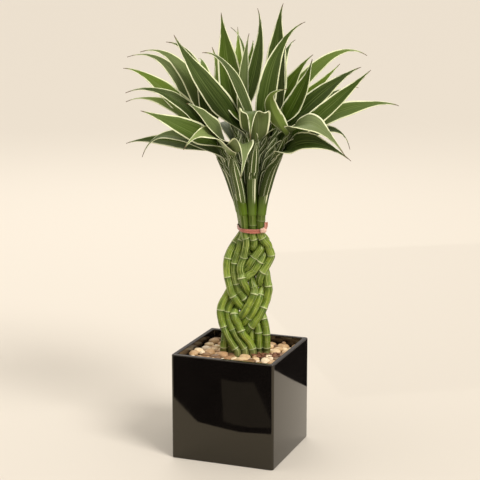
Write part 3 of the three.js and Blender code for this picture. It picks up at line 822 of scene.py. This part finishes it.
def fillers(feet, laid, draw):
    """Smaller stones that drop into the gaps or come to lie on the stones already laid."""
    for _ in range(FILLERS):
        x, y = anywhere(draw)
        size = stone_size(FILLER_SIZE, FILLER_THICKNESS, draw)
        tilt = FILLER_TILT * (next(draw) - 0.5)
        turn, keep = math.pi * next(draw), next(draw)
        reach = STONE_REACH * size[0]
        apart = np.hypot(*(np.array(laid)[:, :2] - [x, y]).T)
        near = [stone for stone, r in zip(laid, apart) if r < LEANS_ON * (stone[2] + reach)]
        rest = max([stone[3] for stone in near] + [BED_TOP]) + NESTLED * size[2]
        crowded = near and apart.min() < CROWDED * (reach + CROWDED_BY) and keep > CROWDED_KEPT
        clear = from_canes(feet, [x, y]) > CANE_RADIUS + FILLER_FROM_CANE * size[0]
        if clear and not crowded and rest + size[2] < FILLER_TOP:
            at = np.array([x, y, rest])
            yield make_stone(FILLER_FINE, size, tilt, turn, at, draw)
            laid.append([x, y, reach, rest + STONE_CROWN * size[2]])


def chips(feet, draw):
    for _ in range(CHIPS):
        x, y = anywhere(draw)
        long = mix(CHIP_SIZE, next(draw))
        size = long * np.array([1, mix(PEBBLE_BREADTH, next(draw)), CHIP_THICKNESS])
        at = np.array([x, y, BED_TOP + CHIP_LIFT + CHIP_SCATTER * next(draw)])
        if from_canes(feet, at) > CANE_RADIUS + size[0]:
            turn = math.pi * next(draw)
            yield make_stone(CHIP_FINE, size, CHIP_TILT, turn, at, draw)


def crumbs(feet, draw):
    """Bark crumbs by the canes on the right."""
    for _ in range(CRUMBS):
        angle, far = TURN * next(draw), math.sqrt(next(draw))
        side = CRUMBS_AT[0] + CRUMBS_SPREAD[0] * far * math.cos(angle)
        deep = CRUMBS_AT[1] + CRUMBS_SPREAD[1] * far * math.sin(angle)
        long = mix(CRUMB_SIZE, next(draw))
        broad = CRUMB_NARROWEST + CRUMB_VARIES * next(draw)
        size = long * np.array([1, broad, CRUMB_THICKNESS])
        at = place(side, deep, 0) + [0, 0, CRUMBS_HEIGHT + CRUMBS_SCATTER * next(draw)]
        if from_canes(feet, at) > CANE_RADIUS + 1:
            tilt, turn = next(draw) - 0.5, math.pi * next(draw)
            yield make_stone(CHIP_FINE, size, tilt, turn, at, draw, bark=1)


def make_pebbles(stems, skin):
    """The big stones lie as the part's do; smaller ones fill the gaps and lie on top."""
    feet = np.array([stem_at(stem, CANE_FOOT)[:2] for stem in stems])
    finer = random(PEBBLE_SEED + 1)
    stones, laid = pebbles(feet, finer)
    for smaller in fillers(feet, laid, finer), chips(feet, finer), crumbs(feet, finer):
        stones.extend(smaller)
    whole = joined("pebbles", stones)
    dress(whole, skin)
    settled_in(whole, "pebbles", "pebbles")


def make_bed(skin):
    """The dark grit that the pebbles lie in."""
    bed, u, v = flat_sheet("grit", 90, 90)
    x, y = (2 * u - 1) * BED_HALF, (2 * v - 1) * BED_HALF
    swirl = np.sin(0.9 * x + 1.3 * np.sin(0.7 * y))
    bumps = swirl * np.sin(1.1 * y + np.sin(0.8 * x))
    set_points(bed, np.stack([x, y, BED_TOP + GRIT_BUMP * bumps], -1))
    smooth_shade(bed)
    thicken(bed, BED_TOP - SOIL_TOP - 2 * FIT)
    dress(bed, skin)
    settled_in(bed, "soil")


# Ribbon tie

def band_path(offset):
    """The way round the bundle, as a closed run of points seen from above."""
    corner = CANE_RADIUS + TIE_SLACK + offset
    inner = TIE_PITCH * (1 - SNUG)
    run = []
    for quarter, (sx, sy) in enumerate([(1, 1), (-1, 1), (-1, -1), (1, -1)]):
        for step in range(BAND_STEPS + 1):
            angle = (quarter + step / BAND_STEPS) * math.pi / 2
            x, y = corner * math.cos(angle), corner * math.sin(angle)
            run.append([sx * inner + x, sy * inner + y])
    return np.array(run + run[:1])


def along_path(path, share):
    """Points at these shares of the path's length."""
    steps = np.concatenate([[0], np.cumsum(np.linalg.norm(np.diff(path, axis=0), axis=1))])
    at = share * steps[-1]
    return np.stack([np.interp(at, steps, path[:, k]) for k in range(path.shape[1])], -1)


def make_band():
    """The ribbon round the canes, creased along its length and dipping in the middle."""
    band, u, v = flat_sheet("band", 160, 12)
    flat = along_path(band_path(TIE_THICK - BAND_SINK), u)
    crease = CREASES[0] * np.sin(TURN * 2.2 * v + 1.6 * np.sin(TURN * u) + 1)
    crease = crease + CREASES[1] * np.sin(TURN * 4 * v + 5 * np.sin(TURN * 2 * u))
    flat = flat + unit(flat) * (crease - CREASE_SINK)[:, None]
    sag = TIE_SAG * np.sin(TURN * 3 * u + 1) * (2 * v - 1) - hump(flat[:, 0], *TIE_DIP)
    z = TIE_AT + TIE_LIFT + (v - 0.5) * TIE_HEIGHT + sag
    set_points(band, place(TIE_MIDDLE + flat[:, 0] - ROW_SHIFT * flat[:, 1], -flat[:, 1], z))
    note(band, shine=0)
    close_seams(band)
    smooth_shade(band)
    thicken(band, BAND_SKIN)
    return band


def make_knot():
    deselect()
    bpy.ops.mesh.primitive_uv_sphere_add(segments=40, ring_count=24, radius=1)
    knot = bpy.context.active_object
    p = unit(points_of(knot))
    around = np.arctan2(p[:, 2], p[:, 0])
    tuck = 1 + KNOT_FOLDS * np.sin(5 * around + 2 * p[:, 1])
    tuck = tuck - hump(p[:, 0] + 0.25 * p[:, 2], *KNOT_GROOVE)
    p = p * tuck[:, None] * np.array(KNOT)
    set_points(knot, place(*(KNOT_AT + p).T))
    note(knot, shine=1)
    smooth_shade(knot)
    return knot


def make_tail():
    tail, u, v = flat_sheet("tail", 8, 24)
    a, b, c = np.array(TAIL, float)
    t = v[:, None]
    turn = 2 * b - (a + c) / 2
    middle = place(*((1 - t) ** 2 * a + 2 * (1 - t) * t * turn + t ** 2 * c).T)
    along = unit(place(*(2 * (1 - t) * (turn - a) + 2 * t * (c - turn)).T))
    out = place(0, 1, 0)
    thin = unit(out - dot(out, along) * along)
    wide = np.cross(along, thin)
    w = 2 * u - 1
    curl = 0.35 * w ** 2 + 0.12 * np.sin(7 * v + 3 * w)
    half = TIE_HEIGHT * TAIL_HALF * (0.75 + 0.25 * v)
    set_points(tail, middle + wide * (w * half)[:, None] + thin * curl[:, None])
    note(tail, shine=0.35 * (1 - v))
    smooth_shade(tail)
    thicken(tail, TAIL_SKIN)
    return tail


def make_ribbon(skin):
    ribbon = joined("ribbon", [make_band(), make_knot(), make_tail()])
    dress(ribbon, skin)
    settled_in(ribbon, "tie", "tie")


# Pot

def choose(piece, kind, test):
    """Selects the faces or edges that pass the test, and goes on editing them."""
    mode("EDIT")
    bpy.ops.mesh.select_mode(type=kind)
    bpy.ops.mesh.select_all(action="DESELECT")
    mode("OBJECT")
    parts = piece.data.polygons if kind == "FACE" else piece.data.edges
    for part in parts:
        part.select = bool(test(part))
    mode("EDIT")


def bevel_corners(pot, test, offset, segments):
    """Rounds the upright edges whose distance from the middle passes the test."""
    points = points_of(pot) / MM

    def chosen(edge):
        a, b = [points[i] for i in edge.vertices]
        return abs(a[2] - b[2]) > UPRIGHT_OVER and test(abs(a[0]))

    choose(pot, "EDGE", chosen)
    bpy.ops.mesh.bevel(offset=offset * MM, segments=segments, profile=0.5, affect="EDGES")
    mode("OBJECT")


def make_pot(skin):
    deselect()
    size = np.array([POT_SIDE, POT_SIDE, POT_HEIGHT]) * MM
    bpy.ops.mesh.primitive_cube_add(size=1, location=(0, 0, size[2] / 2), scale=size)
    pot = bpy.context.active_object
    pot.name = "glazed_pot"
    bpy.ops.object.transform_apply(location=True, rotation=True, scale=True)

    # the mouth: inset by the wall, then pushed down to the floor
    choose(pot, "FACE", lambda face: face.normal.z > 0.9)
    bpy.ops.mesh.inset(thickness=POT_WALL * MM, depth=0)
    deep = (POT_HEIGHT - POT_FLOOR) * MM
    bpy.ops.mesh.extrude_region_move(TRANSFORM_OT_translate={"value": (0, 0, -deep)})
    mode("OBJECT")

    # outer corners first, then the inner ones, and the rim and foot last
    outer = POT_SIDE / 2 - EDGE_SLACK
    bevel_corners(pot, lambda x: x > outer, POT_CORNER, 8)
    inner = POT_SIDE / 2 - POT_WALL + EDGE_SLACK
    bevel_corners(pot, lambda x: x < inner, INNER_CORNER, 6)
    modify(pot, "BEVEL", width=RIM_ROUND * MM, segments=6,
        limit_method="ANGLE", angle_limit=ROUNDED_OVER)
    bpy.ops.object.shade_smooth_by_angle(angle=SMOOTH_UNDER)
    dress(pot, skin)
    settled_in(pot, "pot", "pot")


# Materials

class Skin:
    """A material and the tree of nodes that colours it."""

    def __init__(self, name, roughness, specular=0.5):
        self.material = bpy.data.materials.new(name)
        self.material.use_nodes = True
        self.tree = self.material.node_tree
        self.shader = self.tree.nodes["Principled BSDF"]
        self.set("Roughness", roughness)
        self.set("Specular IOR Level", specular)

    def put(self, socket, value):
        """Links a socket, or sets its value; a colour is given as (red, green, blue)."""
        if isinstance(value, bpy.types.NodeSocket):
            self.tree.links.new(value, socket)
        elif value is not None:
            socket.default_value = (*value, 1) if socket.type == "RGBA" else value

    def set(self, name, value):
        self.put(self.shader.inputs[name], value)

    def node(self, kind, inputs=(), **settings):
        made = self.tree.nodes.new("ShaderNode" + kind)
        for key, value in settings.items():
            setattr(made, key, value)
        for key, value in dict(inputs).items():
            self.put(made.inputs[key], value)
        return made

    def place_of(self, kind="Object"):
        return self.node("TexCoord").outputs[kind]

    def part_of(self, vector, axis):
        return self.node("SeparateXYZ", {"Vector": vector}).outputs[axis]

    def value(self, name):
        return self.node("Attribute", attribute_name=name).outputs["Fac"]

    def noise(self, vector, scale, detail=3, rough=0.5, stretch=None):
        if stretch:
            made = self.node("Mapping", {"Vector": vector, "Scale": stretch})
            vector = made.outputs["Vector"]
        return self.node("TexNoise", {
            "Vector": vector, "Scale": scale, "Detail": detail, "Roughness": rough,
        }).outputs["Fac"]

    def math(self, kind, a, b=None):
        return self.node("Math", {0: a, 1: b}, operation=kind).outputs[0]

    def times(self, value, *others):
        for other in others:
            value = self.math("MULTIPLY", value, other)
        return value

    def rise(self, value, low, high, start=0.0, end=1.0):
        """Goes smoothly from start to end as the value goes from low to high."""
        return self.node("MapRange", {
            "Value": value, "From Min": low, "From Max": high, "To Min": start, "To Max": end,
        }, interpolation_type="SMOOTHSTEP").outputs["Result"]

    def stripe(self, value, rising, falling, strength):
        """Strong where the value is past the rising pair and not yet past the falling one."""
        return self.times(self.rise(value, *rising), self.rise(value, *falling, 1, 0), strength)

    def blend(self, share, a, b):
        made = self.node("Mix", data_type="RGBA")
        for index, value in ((0, share), (6, a), (7, b)):
            self.put(made.inputs[index], value)
        return made.outputs[2]

    def painted(self, body, coats):
        """Lays each colour over what is there, by its share."""
        for share, colour in coats:
            body = self.blend(share, body, colour)
        return body

    def ramp(self, share, stops):
        made = self.node("ValToRGB", {"Fac": share})
        band = made.color_ramp
        while len(band.elements) < len(stops):
            band.elements.new(0.5)
        for element, (at, *colour) in zip(band.elements, stops):
            element.position = at
            element.color = (*colour, 1)
        return made.outputs["Color"]

    def bump(self, height, strength, distance):
        made = self.node("Bump", {
            "Height": height, "Strength": strength, "Distance": distance,
        })
        self.set("Normal", made.outputs["Normal"])


def glaze():
    skin = Skin("black_glaze", 0.05)
    skin.set("IOR", 1.62)
    skin.set("Specular Tint", (1, 0.915, 0.72))
    at = skin.place_of()
    height = skin.part_of(at, "Z")
    cloud = skin.noise(at, 28, 4)
    body = skin.blend(cloud, (0.0025, 0.002, 0.002), (0.006, 0.0048, 0.0045))
    # the rim top is tinted lighter: partly the glaze running thin to show the clay at its edges,
    # partly painted highlight
    thin_glaze_and_sheen = skin.rise(skin.noise(at, 90), 0.3, 0.7, 0.5, 1)
    rim = skin.times(skin.rise(height, 0.1256, 0.1268), thin_glaze_and_sheen)
    skin.set("Base Color", skin.blend(rim, body, (0.014, 0.01, 0.015)))
    skin.set("Roughness", skin.rise(cloud, 0.3, 0.8, 0.035, 0.075))
    skin.bump(skin.noise(at, 22, 2), 0.035, 0.002)
    return skin.material


def soil_skin(name, dark, light):
    skin = Skin(name, 0.95, specular=0.2)
    crumb = skin.noise(skin.place_of(), 420, 6, 0.7)
    skin.set("Base Color", skin.blend(skin.rise(crumb, 0.35, 0.7), dark, light))
    skin.bump(crumb, 0.8, 0.0015)
    return skin.material


def pebble_skin():
    skin = Skin("river_pebble", 0.55, specular=0.4)
    at = skin.place_of()
    cloud = skin.noise(at, 150, 5, 0.6)
    vein = skin.noise(at, 120, 4, 0.65, stretch=(1, 1, 5))
    speck = skin.noise(at, 900, 3, 0.6)
    body = skin.ramp(skin.value("shade"), [
        (0, 0.12, 0.06, 0.028),
        (0.18, 0.33, 0.19, 0.085),
        (0.42, 0.6, 0.395, 0.205),
        (0.7, 0.84, 0.64, 0.38),
        (1, 1, 0.9, 0.7),
    ])
    bark = skin.blend(cloud, (0.1, 0.035, 0.016), (0.27, 0.115, 0.055))
    skin.set("Base Color", skin.painted(body, [
        (skin.rise(skin.value("warmth"), 0.6, 1, 0, 0.45), (0.48, 0.25, 0.125)),
        (skin.rise(cloud, 0.45, 0.68, 0, 0.35), (0.3, 0.175, 0.09)),
        (skin.rise(vein, 0.57, 0.66, 0, 0.3), (0.86, 0.76, 0.58)),
        (skin.times(skin.rise(speck, 0.6, 0.72), 0.5), (0.14, 0.08, 0.045)),
        (skin.value("bark"), bark),
    ]))
    skin.set("Roughness", skin.rise(cloud, 0.3, 0.7, 0.4, 0.66))
    skin.bump(skin.noise(at, 520, 5, 0.6), 0.25, 0.0006)
    return skin.material


def cane_skin():
    skin = Skin("green_cane", 0.3, specular=0.55)
    skin.set("Specular Tint", (0.95, 0.97, 0.62))
    way = skin.place_of("UV")
    ring, shade, height = skin.value("ring"), skin.value("shade"), skin.value("height")
    fine = skin.noise(way, 3, 5, 0.62, stretch=(34, 26, 1))
    broad = skin.noise(way, 2, stretch=(5, 9, 1))
    pale = skin.noise(way, 2.4, stretch=(9, 1.2, 1))
    body = skin.ramp(shade, [
        (0, 0.056, 0.096, 0.003),
        (0.35, 0.09, 0.145, 0.005),
        (0.7, 0.138, 0.208, 0.008),
        (1, 0.21, 0.285, 0.018),
    ])
    skin.set("Base Color", skin.painted(body, [
        (skin.rise(fine, 0.42, 0.7, 0, 0.65), (0.36, 0.42, 0.09)),
        (skin.rise(broad, 0.4, 0.66, 0, 0.8), (0.038, 0.08, 0.008)),
        # pale streaks: partly the cane's own bloom, partly painted highlight
        (skin.rise(pale, 0.54, 0.62, 0, 0.72), (0.58, 0.63, 0.22)),
        # above and below each ring, the pale scar on it, and painted shade as a dark line in its
        # groove
        (skin.stripe(ring, (0.2, 0.6), (0.4, 7), 0.35), (0.27, 0.38, 0.1)),
        (skin.stripe(ring, (-6, -0.8), (-0.7, -0.3), 0.55), (0.045, 0.105, 0.015)),
        (skin.stripe(ring, (-0.55, -0.25), (0.45, 0.75), 0.85), (0.52, 0.56, 0.3)),
        (skin.stripe(ring, (-1.35, -1.0), (-0.8, -0.5), 0.75), (0.06, 0.062, 0.018)),
        # painted shade darkens the canes towards the shoots, and they are paler in the pebbles
        (skin.rise(height, 256, 276, 0, 0.7), (0.048, 0.085, 0.004)),
        (skin.rise(height, 118, 128, 0.6, 0), (0.21, 0.2, 0.08)),
    ]))
    skin.set("Roughness", skin.rise(fine, 0.3, 0.7, 0.24, 0.4))
    skin.bump(fine, 0.2, 0.0004)
    return skin.material


def leaf_skin(name, greyer):
    """Cream-edged leaf: dark green middle with grey-green streaks, brown at the very tip."""
    skin = Skin(name, 0.44, specular=0.22 if greyer else 0.34)
    skin.set("Specular Tint", (0.92, 0.95, 0.55))
    way = skin.place_of("UV")
    edge, half, along, shade, pale, rolled, young = [
        skin.value(n) for n in "edge half along shade pale rolled young".split()
    ]
    wobble = skin.noise(way, 2, 2, stretch=(2.5, 6, 1))
    streak = skin.noise(way, 2.2, 4, 0.6, stretch=(30, 1.2, 1))
    wide = skin.noise(way, 2, 2, stretch=(7, 0.7, 1))
    line = skin.noise(way, 1.9, 2, stretch=(11, 0.3, 1))
    body = skin.ramp(shade, [
        (0, 0.014, 0.031, 0.002),
        (0.45, 0.026, 0.054, 0.003),
        (0.8, 0.056, 0.102, 0.005),
        (1, 0.115, 0.185, 0.008),
    ])
    light = (0.21, 0.255, 0.085) if greyer else (0.175, 0.235, 0.05)
    cream = skin.blend(skin.rise(streak, 0.4, 0.7), (1, 1, 0.74), (0.8, 0.85, 0.46))
    # the cream edge is 1.9 mm wide at most, thin by the root, and fades on a rolled sheath
    width = skin.times(half, skin.rise(shade, 0, 1, 0.09, 0.15))
    width = skin.math("ADD", width, skin.rise(wobble, 0.3, 0.7, -0.35, 0.65))
    width = skin.times(skin.math("MINIMUM", width, 1.9), skin.rise(along, 0, 0.3, 0.3, 1))
    inside = skin.math("SUBTRACT", edge, width)
    inside = skin.math("ADD", inside, skin.rise(streak, 0.3, 0.7, 0.35, -0.35))
    margin = skin.rise(inside, -0.4, 0.35, 1, 0)
    margin = skin.times(margin, skin.rise(rolled, 0.1, 0.7, 0.95, 0.2))
    line = skin.times(skin.rise(line, 0.575, 0.6), skin.rise(rolled, 0.7, 0.95))
    line = skin.times(line, skin.rise(young, 0.1, 0.6, 1, 0), 0.9)
    rib = skin.math("DIVIDE", skin.math("SUBTRACT", half, edge), half)
    dry = skin.math("ADD", along, skin.rise(wobble, 0.3, 0.7, -0.03, 0.03))
    skin.set("Base Color", skin.painted(body, [
        (skin.rise(streak, 0.52, 0.68, 0, 0.6 if greyer else 0.5), light),
        (skin.rise(wide, 0.54, 0.68, 0, 0.45), (0.2, 0.255, 0.075)),
        # grey-green streaks by how pale the blade is: partly the leaf's own tone, partly painted
        # sheen
        (skin.times(pale, skin.rise(streak, 0.3, 0.6, 0.35, 0.75)), (0.27, 0.32, 0.14)),
        (0.25 if greyer else 0, (0.21, 0.26, 0.1)),
        # darker by the root, darker still where it is rolled, and fresh green on a young sheath
        (skin.rise(along, 0, 0.32, 0.5, 0), (0.014, 0.03, 0.002)),
        (skin.times(rolled, 0.4), (0.02, 0.037, 0.003)),
        (young, (0.085, 0.145, 0.007)),
        (margin, cream),
        # a few pale lines up the rolled sheaths, the midrib, and the dry tip
        (line, (0.95, 0.97, 0.66)),
        (skin.rise(rib, 0, 0.06, 0.35, 0), (0.15, 0.215, 0.06)),
        (skin.rise(dry, 0.93, 0.985), (0.105, 0.05, 0.028)),
    ]))
    skin.set("Roughness", skin.rise(streak, 0.35, 0.7, 0.36, 0.52))
    pleat = skin.math("SINE", skin.times(skin.part_of(way, "X"), 150))
    skin.bump(skin.math("ADD", skin.times(pleat, 0.3), streak), 0.22, 0.0005)
    return skin.material


def ribbon_skin():
    skin = Skin("satin_ribbon", 0.42, specular=0.5)
    skin.set("Sheen Weight", 0.4)
    at = skin.place_of()
    weave = skin.noise(at, 700, 3, 0.6, stretch=(1, 1, 6))
    fold = skin.noise(at, 120, stretch=(1, 1, 4))
    body = skin.blend(fold, (0.31, 0.07, 0.04), (0.45, 0.14, 0.085))
    skin.set("Base Color", skin.painted(body, [
        (skin.rise(weave, 0.4, 0.7, 0, 0.25), (0.66, 0.3, 0.21)),
        # painted sheen: lighter on the knot and the start of the tail
        (skin.times(skin.value("shine"), 0.75), (0.82, 0.56, 0.44)),
    ]))
    skin.bump(weave, 0.3, 0.0004)
    return skin.material


# The plant in its pot

heights = np.arange(CANE_FOOT, PLAIT_END + 0.1, STEP)
stems = settle(drawn_canes(heights), heights)

cane_green = cane_skin()
leaf_skins = [leaf_skin("leaf_face", False), leaf_skin("leaf_back", True)]

make_pot(glaze())
for stem in stems:
    make_cane(stem, cane_green)
    make_shoot(stem, leaf_skins)
make_ribbon(ribbon_skin())
make_pebbles(stems, pebble_skin())
make_bed(soil_skin("grit", (0.012, 0.007, 0.005), (0.06, 0.032, 0.02)))

earth = soil_skin("potting_soil", (0.02, 0.012, 0.008), (0.09, 0.05, 0.03))
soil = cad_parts["soil"]
soil.data.materials.clear()
dress(soil, earth)


# Studio

CAMERA_ROUND = math.radians(20.72)
CAMERA_DOWN = math.radians(11.9)
CAMERA_AIM = (-1.12, -0.42, 255.8)
CAMERA_AWAY = 1.703
LENS = 108.7
SENSOR = 36
LAMPS_AIM = (0, 0, 0.25)
FLOOR_SIZE = 240
FLOOR_COLOUR = (0.67, 0.62, 0.55)
SKY = [(0, 0.2, 0.185, 0.165), (0.75, 0.92, 0.87, 0.8)]

# Cards that only the glaze sees, which paint dark reflections into it: the edge next to the pot,
# the way and how far it spreads from there, its height and its colour
BLACK = (0.012, 0.011, 0.01)
GREY = (0.13, 0.12, 0.105)
CARDS = {
    "front_card": [[(-460, -600), (-139, -237), (-86, -178), (-15, -161), (70, -176), (100, -180)],
        (0, -1), 1100, 1, BLACK],
    "grey_card": [[(-50, -196), (-30, -186), (0, -184), (32, -196)], (-0.36, -0.93), 330, 2, GREY],
    "side_card": [[(60, 228), (133, 275), (163, 293), (194, 313), (520, 520)],
        (-0.53, 0.85), 900, 1, BLACK],
}


def hang(name, data, at, look):
    """Hangs a lamp or the camera at a place, looking this way."""
    thing = bpy.data.objects.new(name, data)
    bpy.context.scene.collection.objects.link(thing)
    thing.location = at
    thing.rotation_mode = "QUATERNION"
    thing.rotation_quaternion = Vector(look).to_track_quat("-Z", "Y")
    return thing


def make_floor():
    deselect()
    bpy.ops.mesh.primitive_plane_add(size=FLOOR_SIZE)
    floor = bpy.context.active_object
    floor.name = "floor"
    skin = Skin("pale_floor", 0.7, specular=0.2)
    skin.set("Base Color", FLOOR_COLOUR)
    dress(floor, skin.material)


def make_card(name, near, away, deep, lift, colour):
    card, u, v = flat_sheet(name, 40, 1)
    edge = along_path(np.array(near, float), u)
    spread = edge + v[:, None] * deep * unit(np.array(away, float))
    set_points(card, np.column_stack([spread, np.full(len(spread), lift)]))
    skin = Skin(name, 0.9, specular=0)
    skin.set("Base Color", colour)
    dress(card, skin.material)
    for ray in ("camera", "diffuse", "shadow", "transmission"):
        setattr(card, "visible_" + ray, False)


def add_light(name, at, size, power, colour, kind="AREA"):
    """A lamp aimed at the plant; a SUN is so far off that it lights everything evenly."""
    lamp = bpy.data.lights.new(name, kind)
    lamp.energy = power
    lamp.color = colour
    setattr(lamp, "angle" if kind == "SUN" else "size", size)
    hang(name, lamp, at, np.array(LAMPS_AIM) - np.array(at))


def make_sky():
    """Soft light from all round, stronger from above."""
    world = bpy.data.worlds.new("studio")
    world.use_nodes = True
    nodes, links = world.node_tree.nodes, world.node_tree.links
    kinds = "TexCoord", "SeparateXYZ", "ValToRGB"
    way, part, band = [nodes.new("ShaderNode" + kind) for kind in kinds]
    links.new(way.outputs["Generated"], part.inputs["Vector"])
    links.new(part.outputs["Z"], band.inputs["Fac"])
    links.new(band.outputs["Color"], nodes["Background"].inputs["Color"])
    for element, (at, *colour) in zip(band.color_ramp.elements, SKY):
        element.position = at
        element.color = (*colour, 1)
    bpy.context.scene.world = world


def make_camera():
    back = np.array([
        math.sin(CAMERA_ROUND) * math.cos(CAMERA_DOWN),
        -math.cos(CAMERA_ROUND) * math.cos(CAMERA_DOWN),
        math.sin(CAMERA_DOWN),
    ])
    lens = bpy.data.cameras.new("camera")
    lens.lens = LENS
    lens.sensor_width = SENSOR
    lens.clip_end = 50
    away = np.array(CAMERA_AIM) * MM + back * CAMERA_AWAY
    bpy.context.scene.camera = hang("camera", lens, away, -back)


bpy.context.scene.view_settings.view_transform = "Standard"
make_floor()
for name, card in CARDS.items():
    make_card(name, *card)
add_light("key", (1.7, -0.9, 1.9), 0.42, 2.45, (1, 0.97, 0.92), "SUN")
add_light("fill", (-1.9, -0.9, 0.9), 1.4, 4, (1, 0.97, 0.93))
add_light("back", (-0.9, 1.6, 1.6), 1.2, 8, (1, 0.98, 0.94))
make_sky()
make_camera()
